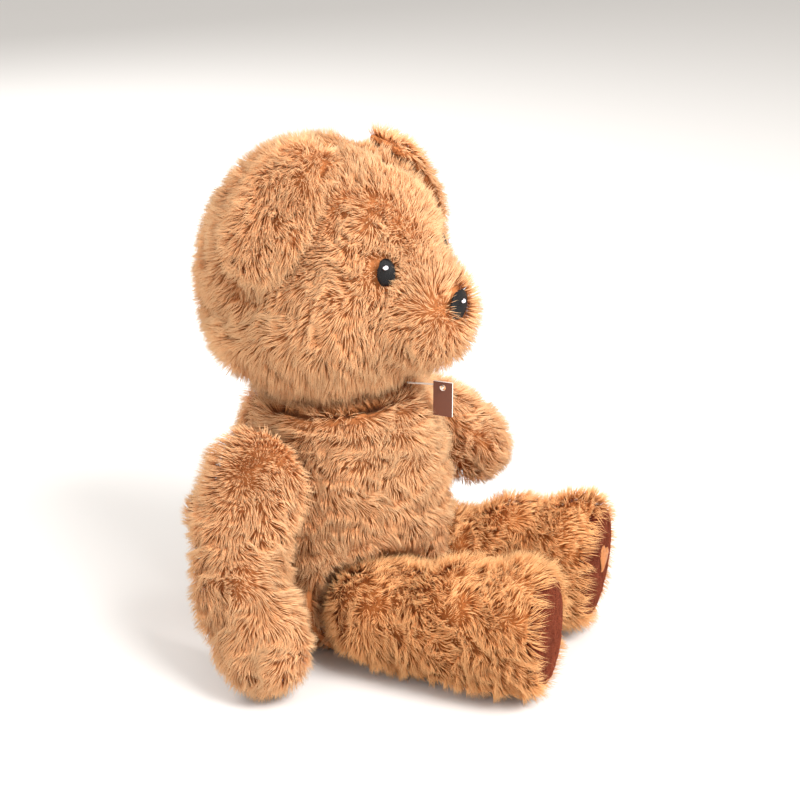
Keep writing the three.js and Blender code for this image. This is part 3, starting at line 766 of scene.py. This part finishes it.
@dataclass
class Coat:
    """Grows one body's pile fabric, a piece for each of its CAD panels.

    Attributes:
        body: the CAD body that it rides on.
        panels: the CAD nodes that it replaces.
        filling: further CAD nodes that shape it.
        pile: how the pile stands.
        finish: the fabric's material.
        slot: the record's material slot.
        comb: gives the pile's lie from points and normals.
        trim: gives the share of full length.
        thick: gives the share of full density.
        flat: gives the share of the full lean.
        maker: makes the skin.
        shift: how far the skin is pressed to one side.
        floor: the lowest height that the pile may reach.
        backing: the thickness of the skin.
    """

    body: str
    panels: Sequence[str]
    filling: Sequence[str]
    pile: Pile
    finish: bpy.types.Material
    # slot: the record's material slot; not used.
    slot: str
    comb: Field
    trim: Field | None = None
    thick: Field | None = None
    flat: Field | None = None
    maker: SkinMaker = field(default_factory=SkinMaker)
    shift: tuple[float, float, float] = (0.0, 0.0, 0.0)
    floor: float = 0.0004
    backing: float = 0.0012

    def make(self) -> None:
        """Builds the pieces and ties them to the frame."""
        surface, owner = self.maker.surface([*self.panels, *self.filling], self.panels)
        surface = replace(surface, points=surface.points + np.array(self.shift))
        for index, panel in enumerate(self.panels):
            piece = self.shell(surface, surface.faces[owner == index], f"{panel}_fabric")
            self.grow(piece, replace(self.pile, seed=self.pile.seed + index), self.finish, self.floor)
            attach(piece, self.body)
            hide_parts(panel)
            LOG.info("%s: %d faces", piece.name, len(piece.data.polygons))

    def shell(self, surface: Surface, faces: Array, name: str) -> bpy.types.Object:
        """Makes a panel's backing: a closed thin shell whose outer faces will grow the pile."""
        used, flat = np.unique(faces, return_inverse=True)
        quads = flat.reshape(-1, 4)
        points = surface.points[used]
        normals = surface.normals[used]
        count = len(points)
        edges = np.stack([quads, np.roll(quads, -1, 1)], -1).reshape(-1, 2)
        known = {tuple(edge) for edge in edges.tolist()}
        rim = [(a, b) for a, b in known if (b, a) not in known]
        walls = [(b, a, a + count, b + count) for a, b in sorted(rim)]
        inner = points - normals * self.backing
        every = [*quads.tolist(), *(quads[:, ::-1] + count).tolist(), *walls]
        shell = object_from(name, np.concatenate([points, inner]), every)
        self.mark(shell, "outer", "BOOLEAN", "FACE", np.arange(len(every)) < len(quads))
        ones = np.ones(count)
        values = (
            ("upright", "FLOAT_VECTOR", normals),
            ("comb", "FLOAT_VECTOR", self.comb(points, normals)),
            ("trim", "FLOAT", ones if self.trim is None else self.trim(points, normals)),
            ("thick", "FLOAT", ones if self.thick is None else self.thick(points, normals)),
            ("flat", "FLOAT", ones if self.flat is None else self.flat(points, normals)),
        )
        for title, kind, value in values:
            self.mark(shell, title, kind, "POINT", np.concatenate([value, value]))
        return shell

    @staticmethod
    def mark(shell: bpy.types.Object, name: str, kind: str, domain: str, values: Array) -> None:
        """Writes a named attribute on a mesh."""
        layer = shell.data.attributes.new(name, kind, domain)
        layer.data.foreach_set("vector" if kind == "FLOAT_VECTOR" else "value", np.ravel(values))

    @staticmethod
    def grow(skin: bpy.types.Object, pile: Pile, finish: bpy.types.Material, floor: float) -> None:
        """Grows pile on a skin and keeps the result as its plain mesh.

        Args:
            skin: the skin, with its attributes.
            pile: how the pile stands.
            finish: the fabric's material.
            floor: the lowest height that the pile may reach.
        """
        run_tree(skin, pile_tree(), **asdict(pile), floor=floor, material=finish)
        for name in ("outer", "upright", "comb", "trim", "thick", "flat"):
            if name in skin.data.attributes:
                skin.data.attributes.remove(skin.data.attributes[name])


# ---- small pieces -------------------------------------------------------------------------


@dataclass
class Patch:
    """The place of an embroidered or sewn patch, read from its CAD node.

    Attributes:
        middle: the middle of the node.
        across: the patch's own right, as it is looked at.
        up: its upward direction.
        out: the way that it faces.
    """

    middle: Array
    across: Array
    up: Array
    out: Array

    @classmethod
    def of(cls, node: str, away_from: Array) -> "Patch":
        """Finds a patch's directions from its node's shape.

        Args:
            node: the CAD node, thinnest along the way that it faces.
            away_from: a point behind the patch.

        Returns:
            The patch's place.
        """
        points, triangles = node_arrays([node])
        corners = points[triangles].reshape(-1, 3)
        middle = middle_of(node)
        _, _, axes = np.linalg.svd(corners - corners.mean(0), full_matrices=False)
        out = axes[2] * (1 if axes[2] @ (middle - away_from) > 0 else -1)
        up = axes[0] if abs(axes[0][2]) > abs(axes[1][2]) else axes[1]
        up = up * (1 if up[2] > 0 else -1)
        return cls(middle, np.cross(up, out), up, out)

    def world(self, flat: Array, height: Array | float) -> Array:
        """Points of the object from points on the patch and their heights above its middle."""
        flat = np.asarray(flat)
        rise = np.broadcast_to(np.asarray(height)[..., None], (*flat.shape[:-1], 1))
        return self.middle + flat[..., :1] * self.across + flat[..., 1:2] * self.up + rise * self.out

    def local(self, points: Array) -> Array:
        """Across, up and out of points of the object, from the patch's middle."""
        return (points - self.middle) @ np.stack([self.across, self.up, self.out], 1)


def oval(half_width: float, half_height: float, flat_below: float = 1.0, corners: int = 48) -> Array:
    """An oval outline, cut nearly flat at a share of its half height below the middle."""
    turn = np.linspace(0, 2 * math.pi, corners, endpoint=False)
    high = np.sin(turn)
    high = np.where(high < -flat_below, -flat_below + (high + flat_below) * 0.25, high)
    return np.stack([half_width * np.cos(turn), half_height * high], 1)


def heart(width: float, height: float, corners: int = 60) -> Array:
    """A heart's outline about its middle."""
    turn = np.linspace(0, 2 * math.pi, corners, endpoint=False)
    x = np.sin(turn) ** 3
    y = (13 * np.cos(turn) - 5 * np.cos(2 * turn) - 2 * np.cos(3 * turn) - np.cos(4 * turn)) / 17
    y = y - (y.max() + y.min()) / 2
    return np.stack([x * width / 2, y * height / (y.max() - y.min())], 1)


@cache
def thread_tree() -> bpy.types.NodeTree:
    """Builds the tree that lays one stitch of thread for each point that it is given.

    The points carry these attributes: start_at, crown_at and end_at, a stitch's two ends and the
    point that it bends towards; seat_at, its own place; out_by, the way that the patch faces.

    Returns:
        The geometry node group.
    """
    t, given = new_tree("Stitches", rows="Geometry", radius="Float", sides="Int", material="Material")
    points = t.add("GeometryNodeMeshToPoints", {"Mesh": given["Rows"]}).outputs[0]
    tube = t.add(
        "GeometryNodeMeshCylinder",
        {"Vertices": given["Sides"], "Side Segments": 7, "Radius": 1.0, "Depth": 1.0},
        fill_type="NGON",
    )
    up = t.add("GeometryNodeTransform", {0: tube.outputs["Mesh"], "Translation": (0, 0, 0.5)}).outputs[0]
    up = t.add("GeometryNodeSetShadeSmooth", {0: up}).outputs[0]
    threads = t.add("GeometryNodeInstanceOnPoints", {"Points": points, "Instance": up})
    threads = t.add("GeometryNodeRealizeInstances", {0: threads.outputs[0]}).outputs[0]
    names = ("start_at", "crown_at", "end_at", "seat_at", "out_by")
    start, crown, end, seat, out = (t.read(name, "FLOAT_VECTOR") for name in names)
    own = t.add("GeometryNodeInputPosition").outputs[0]
    x, y, along = t.parts(t.vector("SUBTRACT", own, seat))
    rest = t.math("SUBTRACT", 1.0, along)
    forward = t.vector("NORMALIZE", t.plus(
        t.scaled(t.vector("SUBTRACT", crown, start), rest),
        t.scaled(t.vector("SUBTRACT", end, crown), along),
    ))
    side = t.vector("NORMALIZE", t.vector("CROSS_PRODUCT", forward, out))
    rise = t.vector("CROSS_PRODUCT", side, forward)
    place = t.plus(
        t.curve(start, crown, end, along),
        t.scaled(side, t.times(x, given["Radius"])),
        t.scaled(rise, t.times(y, given["Radius"])),
    )
    moved = t.add("GeometryNodeSetPosition", {"Geometry": threads, "Position": place}).outputs[0]
    t.finish(moved, given["Material"], names)
    return t.tree


@dataclass
class Embroidery:
    """A patch of satin stitches laid side by side over a low dome.

    Attributes:
        node: the CAD node that it replaces.
        patch: its place.
        outline: its outline on the patch.
        dome: the height of its middle above its edge.
        base: the height of its edge above the patch's middle.
        slant: the stitches' angle from the patch's own right, in degrees.
        pitch: from one stitch to the next.
        radius: the thread's half thickness.
    """

    node: str
    patch: Patch
    outline: Array
    dome: float
    base: float
    slant: float
    finish: bpy.types.Material
    slot: str
    body: str
    pitch: float = 0.00034
    radius: float = 0.00026
    seed: int = 7

    def rows(self) -> Array:
        """Cuts the outline into stitches.

        Returns:
            The two ends of each stitch, on the patch.
        """
        draw = np.random.default_rng(self.seed)
        angle = math.radians(self.slant)
        along = np.array([math.cos(angle), math.sin(angle)])
        off = np.array([-along[1], along[0]])
        s, o = self.outline @ along, self.outline @ off
        made = []
        for level in np.arange(o.min() + self.pitch / 2, o.max(), self.pitch):
            cuts = []
            for i in range(len(o)):
                k = (i + 1) % len(o)
                if (o[i] - level) * (o[k] - level) < 0:
                    cuts.append(s[i] + (s[k] - s[i]) * (level - o[i]) / (o[k] - o[i]))
            cuts.sort()
            for a, b in zip(cuts[::2], cuts[1::2]):
                a, b = a - draw.uniform(0, 0.0003), b + draw.uniform(0, 0.0003)
                middle = level + draw.normal(0, self.pitch * 0.12)
                made.append((a * along + middle * off, b * along + middle * off))
        return np.array(made)

    def make(self) -> bpy.types.Object:
        """Lays the stitches and ties them to the frame."""
        rows = self.rows()
        reach = np.abs(self.outline).max(0)

        def height(flat: Array) -> Array:
            """The dome's height at points of the patch."""
            share = np.clip(1 - (flat / reach * 0.97) ** 2 @ np.ones(2), 0, 1)
            return self.base + self.dome * np.sqrt(share)

        start, end = rows[:, 0], rows[:, 1]
        middle = (start + end) / 2
        ends_height = self.base - self.radius
        crown = 2 * height(middle) - ends_height
        values = {
            "start_at": self.patch.world(start, ends_height),
            "crown_at": self.patch.world(middle, crown),
            "end_at": self.patch.world(end, ends_height),
            "seat_at": self.patch.world(middle, 0.0),
            "out_by": np.tile(self.patch.out, (len(rows), 1)),
        }
        piece = object_from(f"{self.node}_stitches", values["seat_at"], [])
        for name, value in values.items():
            Coat.mark(piece, name, "FLOAT_VECTOR", "POINT", value)
        run_tree(piece, thread_tree(), radius=self.radius, sides=5, material=self.finish)
        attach(piece, self.body)
        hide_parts(self.node)
        LOG.info("%s: %d stitches", piece.name, len(rows))
        return piece


@dataclass
class Filling:
    """A stuffing, drawn in from its cover.

    Attributes:
        node: the CAD node that it replaces.
        panels: the CAD panels that cover it.
        body: the CAD body that it rides on.
        finish: the fibre's material.
        slot: the record's material slot; not used.
        sunk: how far it lies below the pile's tips.
    """

    node: str
    panels: Sequence[str]
    body: str
    finish: bpy.types.Material
    slot: str = "stuffing"
    sunk: float = 0.0108

    def make(self) -> None:
        """Builds the filling from its CAD node and ties it to the frame."""
        maker = SkinMaker(voxel=0.004, rounds=9, settled=10, depth=self.sunk, rest=0.006)
        surface, _ = maker.surface([self.node, *self.panels])
        piece = object_from(f"{self.node}_fibre", surface.points, surface.faces)
        for face in piece.data.polygons:
            face.use_smooth = True
        piece.data.materials.append(self.finish)
        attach(piece, self.body)
        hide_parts(self.node)


@dataclass
class Sole:
    """A velour sole: a low domed pad with a short nap, sewn in round its edge.

    Attributes:
        side: the dog's right or left.
        pad: the pad's thickness.
        dome: the height of its middle above its edge.
        sunk: how far it lies below the CAD sole's face.
        motif: the radius round the motif that grows no nap.
        rings: how many rings of faces its front has.
        steps: how many faces a ring has.
        floor: the lowest height that the nap may reach.
    """

    side: Side
    pad: float = 0.0048
    dome: float = 0.0022
    sunk: float = 0.0022
    motif: float = 0.0075
    rings: int = 20
    steps: int = 64
    floor: float = 0.0004

    def patch(self) -> Patch:
        """The sole's place."""
        return Patch.of(f"sole_{self.side.word}", np.array([0.0, 0.0, 0.05]))

    def make(self) -> None:
        """Builds the pad, grows its nap and ties it to the frame."""
        name = f"sole_{self.side.word}"
        patch = self.patch()
        local = patch.local(node_arrays([name])[0])
        half = (local.max(0) - local.min(0)) / 2
        profile = self.profile(half[2])
        turn = np.linspace(0, 2 * math.pi, self.steps, endpoint=False)
        circle = np.stack([np.cos(turn), np.sin(turn)], 1)
        points = [patch.world(np.zeros((1, 2)), profile[0][1])]
        for share, height in profile[1:-1]:
            points.append(patch.world(circle * half[:2] * share, height))
        points.append(patch.world(np.zeros((1, 2)), profile[-1][1]))
        faces, count, n = [], len(profile) - 2, self.steps
        for i in range(n):
            k = (i + 1) % n
            faces.append((0, 1 + i, 1 + k))
            faces.append((1 + (count - 1) * n + k, 1 + (count - 1) * n + i, 1 + count * n))
            for ring in range(count - 1):
                a = 1 + ring * n
                faces.append((a + i, a + n + i, a + n + k, a + k))
        points = np.concatenate(points)
        pad = object_from(f"{name}_velour", points, faces)
        normals = vertex_values(pad.data, "normal")
        facing = normals @ patch.out
        fronts = np.array([face.normal @ Vector(patch.out) > 0.3 for face in pad.data.polygons])
        Coat.mark(pad, "outer", "BOOLEAN", "FACE", fronts)
        Coat.mark(pad, "upright", "FLOAT_VECTOR", "POINT", normals)
        Coat.mark(pad, "comb", "FLOAT_VECTOR", "POINT", np.tile(-patch.up, (len(points), 1)))
        Coat.mark(pad, "trim", "FLOAT", "POINT", np.clip(facing, 0.4, 1))
        Coat.mark(pad, "thick", "FLOAT", "POINT", self.clear_of_motif(points))
        Coat.mark(pad, "flat", "FLOAT", "POINT", np.ones(len(points)))
        nap = Pile(density=6e6, length=0.0013, width=0.00016, lean=0.45, swirl=3.0, swirl_size=0.012,
                   ruffle=1.5, ruffle_size=0.004, lock=0.15, lock_size=0.001, seed=40 + self.side.value)
        Coat.grow(pad, nap, VELOUR, self.floor)
        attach(pad, f"leg_{self.side.word}")
        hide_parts(name)
        LOG.info("%s: %d faces", pad.name, len(pad.data.polygons))

    def clear_of_motif(self, points: Array) -> Array:
        """The share of nap at points of the pad: none under the motif."""
        if self.side is Side.RIGHT:
            return np.ones(len(points))
        off = np.linalg.norm(points - middle_of("sole_motif_left"), axis=1)
        return ramp(off, self.motif - 0.001, self.motif)

    def profile(self, half_thickness: float) -> list[tuple[float, float]]:
        """The pad's section from the middle of its face to the middle of its back.

        Args:
            half_thickness: half the CAD sole's thickness.

        Returns:
            Pairs of a share of the outline and a height above the sole's middle.
        """
        front = []
        for ring in range(self.rings + 1):
            share = ring / self.rings
            fall = (self.dome + self.pad * 0.5) * (1 - (1 - share**4) ** 0.5)
            front.append((share, half_thickness + self.dome - self.sunk - fall))
        deep = half_thickness - self.sunk - self.pad
        back = [(0.97, deep), (0.0, deep)]
        return front + back


# ---- the dog ------------------------------------------------------------------------------


def middle_of(node: str) -> Array:
    """The middle of a CAD node's box."""
    low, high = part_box(node)
    return np.array((Vector(low) + Vector(high)) / 2)


def frame_point(joint: str) -> Array:
    """Where a joint of the record is, in metres."""
    found = next(j for j in frame["joints"] if j["name"] == joint)
    return np.array(found["pos_m"])


def towards(direction: Sequence[float]) -> Field:
    """A combing that lies one way."""
    return lambda points, normals: np.tile(np.array(direction, float), (len(points), 1))


def unit(vectors: Array) -> Array:
    """Vectors of length one."""
    return vectors / np.maximum(np.linalg.norm(vectors, axis=-1, keepdims=True), 1e-9)


def ramp(values: Array, low: float, high: float) -> Array:
    """0 at low and below, 1 at high and above."""
    return np.clip((values - low) / (high - low), 0, 1)


@dataclass
class Head:
    """Head, muzzle and embroidered face."""

    eye: tuple[float, float] = (0.0049, 0.0067)
    nose: tuple[float, float] = (0.0074, 0.0075)
    cover: float = 0.0084

    def __post_init__(self) -> None:
        """Reads the places of the eyes, the nose and the muzzle."""
        centre = middle_of("head_stuffing")
        self.eyes = {side: Patch.of(f"eye_{side.word}", centre) for side in Side}
        self.snout = Patch.of("nose", centre)
        self.ears = []
        for side in Side:
            patch = Patch.of(f"ear_outer_{side.word}", centre)
            local = patch.local(node_arrays([f"ear_outer_{side.word}"])[0])
            self.ears.append((patch, np.ptp(local, 0)[:2] / 2))
        low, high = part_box("muzzle_stuffing")
        self.muzzle = middle_of("muzzle_stuffing")
        self.muzzle_half = np.array(Vector(high) - Vector(low)) / 2 + self.cover

    def off_muzzle(self, points: Array) -> Array:
        """How far points are outside the muzzle, as a share of its size; negative inside it."""
        return np.linalg.norm((points - self.muzzle) / self.muzzle_half, axis=1) - 1

    @staticmethod
    def off(points: Array, patch: Patch, half: Sequence[float], depth: float = 0.014) -> Array:
        """How far points are outside a patch's outline, in metres; negative inside it."""
        local = patch.local(points)
        radius = np.linalg.norm(local[:, :2] / np.array(half), axis=1)
        off = (radius - 1) * np.linalg.norm(local[:, :2], axis=1) / np.maximum(radius, 1e-6)
        return np.where(np.abs(local[:, 2]) < depth, off, 1.0)

    def off_eyes(self, points: Array) -> Array:
        """How far points are outside the nearer eye."""
        return np.min([self.off(points, patch, self.eye) for patch in self.eyes.values()], axis=0)

    def on_muzzle(self, points: Array) -> Array:
        """1 on the muzzle, 0 on the head, and between the two in their crease."""
        return 1 - ramp(self.off_muzzle(points), -0.16, -0.02)

    def off_nose(self, points: Array) -> Array:
        """How far points are outside the nose, in metres."""
        return self.off(points, self.snout, self.nose)

    def comb(self, points: Array, normals: Array) -> Array:
        """Pile that spreads from the nose, lies back and down the head, and parts at the eyes."""
        lie = unit(points - self.snout.middle)
        lie = lie + np.array([0.0, 0.0, -0.55]) * (1 - self.on_muzzle(points))[:, None]
        lie = lie + np.array([0.0, 0.0, -1.6]) * self.low(points)[:, None]
        for patch in self.eyes.values():
            local = patch.local(points)
            away = unit(local[:, :1] * patch.across + local[:, 1:2] * patch.up)
            near = 1 - ramp(self.off(points, patch, self.eye), 0.0005, 0.005)
            lie = lie + 6.0 * near[:, None] * away
        return lie

    def trim(self, points: Array, normals: Array) -> Array:
        """Shorter pile round the eyes and the ears, longer under the jowls and at the nape."""
        eyes = 0.5 + 0.5 * ramp(self.off_eyes(points), 0.0, 0.006)
        pressed = np.zeros(len(points))
        for patch, half in self.ears:
            beyond = (self.off(points, patch, half, 0.03) - 0.004) / 0.004
            pressed = np.maximum(pressed, np.exp(-(beyond**2)))
        return eyes * (1 - 0.5 * pressed) * (1 + 0.5 * self.low(points))

    def low(self, points: Array) -> Array:
        """1 at the bottom of the head, 0 on the muzzle and from the cheeks up."""
        return (1 - ramp(points[:, 2], 0.148, 0.178)) * (1 - self.on_muzzle(points))

    def thick(self, points: Array, normals: Array) -> Array:
        """No pile under the eyes or the nose."""
        return ramp(self.off_eyes(points), 0.0, 0.0006) * ramp(self.off_nose(points), -0.0004, 0.0002)

    def flat(self, points: Array, normals: Array) -> Array:
        """Upright pile round the nose and in the crease of the muzzle."""
        nose = ramp(self.off_nose(points), 0.001, 0.007)
        crease = np.abs(self.off_muzzle(points) + 0.1)
        return (0.45 + 0.55 * nose) * (0.7 + 0.3 * ramp(crease, 0.02, 0.14))

    def make(self) -> None:
        """Builds the head's coat, its fillings and the embroidery."""
        heads = ["head_gusset", "head_panel_right", "head_panel_left"]
        muzzles = ["muzzle_panel_right", "muzzle_panel_left"]
        inner = ["head_stuffing", "muzzle_stuffing", "eye_right", "eye_left", "nose"]
        Coat("head", [*heads, *muzzles], inner, Pile(seed=20), PLUSH, "plush",
             self.comb, self.trim, self.thick, self.flat).make()
        for side, patch in self.eyes.items():
            self.stitch(f"eye_{side.word}", patch, oval(*self.eye, flat_below=0.85), 0.0010, -0.0008, 62.0,
                        BLACK, "black_thread")
            self.glint(f"eye_glint_{side.word}", patch)
        self.stitch("nose", self.snout, oval(*self.nose, flat_below=0.9), 0.0010, -0.0022, 4.0,
                    BLACK, "black_thread")
        self.glint("nose_glint", self.snout, -0.0026)
        Filling("head_stuffing", heads, "head", STUFFING).make()
        Filling("muzzle_stuffing", muzzles, "head", STUFFING).make()

    def stitch(
        self, node: str, patch: Patch, outline: Array, dome: float, base: float, slant: float,
        finish: bpy.types.Material, slot: str,
    ) -> None:
        """Embroiders one patch of the face."""
        Embroidery(node, patch, outline, dome, base, slant, finish, slot, "head").make()

    def glint(self, node: str, patch: Patch, base: float = -0.0015) -> None:
        """Embroiders the light spot on an eye or the nose."""
        own = Patch(middle_of(node), patch.across, patch.up, patch.out)
        self.stitch(node, own, oval(0.0012, 0.0008), 0.0006, base, 20.0, WHITE, "white_thread")


@dataclass
class Ear:
    """One drop ear, pressed into the pile of the head.

    Attributes:
        side: the dog's right or left.
        length: the length of its pile.
        press: how far it is pressed towards the head.
    """

    side: Side
    length: float = 0.0125
    press: float = 0.0015

    def make(self) -> None:
        """Builds the ear's coat."""
        word = self.side.word
        outer = Patch.of(f"ear_outer_{word}", middle_of("head_stuffing"))

        def comb(points: Array, normals: Array) -> Array:
            """Down the ear, and out over its edges."""
            local = outer.local(points)
            spread = np.tanh(local[:, :1] / 0.014)
            return unit(0.7 * spread * outer.across - outer.up + 0.2 * outer.out)

        pile = Pile(length=self.length, lean=0.5, swirl=3.0, ruffle=2.4, density=1.8e6, seed=60 + self.side.value)
        maker = SkinMaker(voxel=0.0022, rounds=4, depth=0.0034, swell=0.001)
        Coat(f"ear_{word}", [f"ear_outer_{word}", f"ear_lining_{word}"], [], pile, PLUSH,
             "plush", comb, maker=maker, shift=tuple(-self.press * outer.out)).make()


@dataclass
class Leg:
    """One leg, whose pile lies towards the foot and fringes the sole."""

    side: Side
    sole: tuple[float, float] = (0.0192, 0.0282)

    def make(self) -> None:
        """Builds the leg's coat, sole and filling."""
        word = self.side.word
        sole = Sole(self.side)
        patch = sole.patch()

        def off_sole(points: Array) -> Array:
            """How far points are outside the sole's outline, in metres."""
            local = patch.local(points)
            radius = np.linalg.norm(local[:, :2] / np.array(self.sole), axis=1)
            off = (radius - 1) * self.sole[0]
            return np.where(local[:, 2] > -0.016, off, 1.0)

        def comb(points: Array, normals: Array) -> Array:
            """Down the leg, and up and out over the foot."""
            foot = ramp(-points[:, 1], 0.085, 0.115)[:, None]
            lie = np.tile([0.0, -1.0, -0.5], (len(points), 1))
            return lie * (1 - foot) + foot * (patch.out * 1.2 + 0.2 * unit(points - patch.middle))

        Coat(
            f"leg_{word}", [f"leg_top_panel_{word}", f"leg_under_panel_{word}"],
            [f"leg_stuffing_{word}", f"sole_{word}"], Pile(seed=80 + self.side.value),
            LEG_PLUSH, "leg_plush", comb,
            lambda points, normals: 1.1 - 0.1 * ramp(off_sole(points), 0.0, 0.010),
            lambda points, normals: ramp(off_sole(points), -0.0012, 0.0),
        ).make()
        sole.make()
        panels = [f"leg_top_panel_{word}", f"leg_under_panel_{word}"]
        Filling(f"leg_stuffing_{word}", panels, f"leg_{word}", STUFFING).make()
        if self.side is Side.LEFT:
            own = Patch(middle_of("sole_motif_left"), patch.across, patch.up, patch.out)
            Embroidery(
                "sole_motif_left", own, heart(0.015, 0.0135), 0.0012, -0.0002, 0.0, GOLD,
                "gold_thread", "leg_left", pitch=0.0004, radius=0.0003,
            ).make()


@dataclass
class Dog:
    """Builds every sub-assembly of the dog in order."""

    arm_lies: dict[Side, tuple[float, float, float]] = field(
        default_factory=lambda: {Side.RIGHT: (-0.2, -0.15, -1.0), Side.LEFT: (0.15, -0.8, -0.4)}
    )

    def build(self) -> None:
        """Makes the coats and the small pieces."""
        torso = ["torso_front_panel", "torso_back_panel_right", "torso_back_panel_left", "seat_panel"]

        def collar(points: Array) -> Array:
            """0 low on the torso, 1 round the neck."""
            return ramp(points[:, 2], 0.108, 0.132)

        Coat("torso", torso, ["torso_stuffing", "seat_bean_bag", "neck_stuffing"], Pile(seed=1), PLUSH,
             "plush", towards((0.0, 0.0, -1.0)),
             trim=lambda points, normals: 1 + 0.35 * collar(points),
             flat=lambda points, normals: 1 - 0.25 * collar(points)).make()
        Filling("torso_stuffing", torso[:3], "torso", STUFFING).make()
        self.neck()
        Head().make()
        for side in Side:
            word = side.word
            panels = [f"arm_front_panel_{word}", f"arm_back_panel_{word}"]
            root = frame_point(f"shoulder_swing_{word}")

            def shoulder(points: Array, root: Array = root) -> Array:
                """1 at the shoulder, 0 down the arm."""
                return 1 - ramp(np.linalg.norm(points - root, axis=1), 0.018, 0.034)

            Coat(f"arm_{word}", panels, [f"arm_stuffing_{word}"], Pile(seed=40 + side.value), PLUSH,
                 "plush", towards(self.arm_lies[side]),
                 trim=lambda points, normals: 1 + 0.25 * shoulder(points),
                 flat=lambda points, normals: 1 - 0.7 * shoulder(points)).make()
            Filling(f"arm_stuffing_{word}", panels, f"arm_{word}", STUFFING).make()
            Leg(side).make()
        Ear(Side.RIGHT).make()
        Ear(Side.LEFT, length=0.0085, press=0.0035).make()
        Coat("tail", ["tail_cover"], ["tail_stuffing"], Pile(seed=100, length=0.010), PLUSH, "plush",
             towards((0.0, 0.5, 1.0)), maker=SkinMaker(depth=0.0035, swell=0.001)).make()
        Filling("tail_stuffing", ["tail_cover"], "tail", STUFFING, sunk=0.0056).make()
        self.carried_over()

    def neck(self) -> None:
        """Dresses the neck's ball in the same pile fabric, which closes the crease under the head."""
        Coat("neck", ["neck_stuffing"], [], Pile(seed=15, length=0.012, lean=0.3), PLUSH, "stuffing",
             towards((0.0, 0.0, -1.0)), maker=SkinMaker(depth=0.003, swell=0.001)).make()

    def carried_over(self) -> None:
        """Gives the CAD nodes that stay their own materials."""
        for node, finish in (
            ("seat_bean_bag", BEANS),
            ("tag_card", CARD),
            ("tag_thread", NYLON),
        ):
            shown = frame["nodes"][node]
            shown.data.materials.clear()
            shown.data.materials.append(finish)


# ---- the set ------------------------------------------------------------------------------


@dataclass(frozen=True)
class Stage:
    """Floor, lights and camera."""

    azimuth: float = -68.0
    elevation: float = 21.0
    distance: float = 0.95
    lens: float = 85.0
    target: tuple[float, float, float] = (0.005, -0.031, 0.128)

    def camera(self) -> None:
        """Adds the camera."""
        data = bpy.data.cameras.new("camera")
        data.lens = self.lens
        data.sensor_width = 36
        data.clip_start = 0.01
        made = bpy.data.objects.new("camera", data)
        turn, rise = math.radians(self.azimuth), math.radians(self.elevation)
        back = Vector((math.sin(turn) * math.cos(rise), -math.cos(turn) * math.cos(rise), math.sin(rise)))
        made.location = Vector(self.target) + back * self.distance
        made.rotation_euler = back.to_track_quat("Z", "Y").to_euler()
        bpy.context.scene.collection.objects.link(made)
        bpy.context.scene.camera = made

    def floor(self) -> None:
        """Adds a plain pale floor."""
        size = 40.0
        corners = np.array([(-size, -size, 0), (size, -size, 0), (size, size, 0), (-size, size, 0)])
        made = object_from("floor", corners, [(0, 1, 2, 3)])
        material = bpy.data.materials.new("floor")
        material.use_nodes = True
        shader = material.node_tree.nodes["Principled BSDF"]
        shader.inputs["Base Color"].default_value = (0.72, 0.7, 0.68, 1)
        shader.inputs["Roughness"].default_value = 0.8
        made.data.materials.append(material)

    def lights(self) -> None:
        """Adds the studio lights."""
        bpy.context.scene.view_settings.view_transform = "Standard"
        world = bpy.data.worlds.new("studio")
        world.use_nodes = True
        world.node_tree.nodes["Background"].inputs[0].default_value = (1.0, 0.97, 0.93, 1)
        world.node_tree.nodes["Background"].inputs[1].default_value = 0.7
        bpy.context.scene.world = world
        for name, place, power, size in (
            ("key", (-0.5, -1.1, 1.2), 44.0, 0.8),
            ("fill", (-1.2, 0.3, 0.7), 9.0, 1.2),
            ("rim", (0.8, 0.9, 0.9), 12.0, 0.8),
        ):
            data = bpy.data.lights.new(name, "AREA")
            data.energy = power
            data.size = size
            made = bpy.data.objects.new(name, data)
            made.location = place
            aim = Vector(place) - Vector((0, 0, 0.12))
            made.rotation_euler = aim.to_track_quat("Z", "Y").to_euler()
            bpy.context.scene.collection.objects.link(made)


def main() -> None:
    """Builds the scene."""
    logging.basicConfig(level=logging.INFO, format="%(message)s")
    stage = Stage()
    stage.camera()
    Dog().build()
    stage.floor()
    stage.lights()


if __name__ == "__main__":
    main()
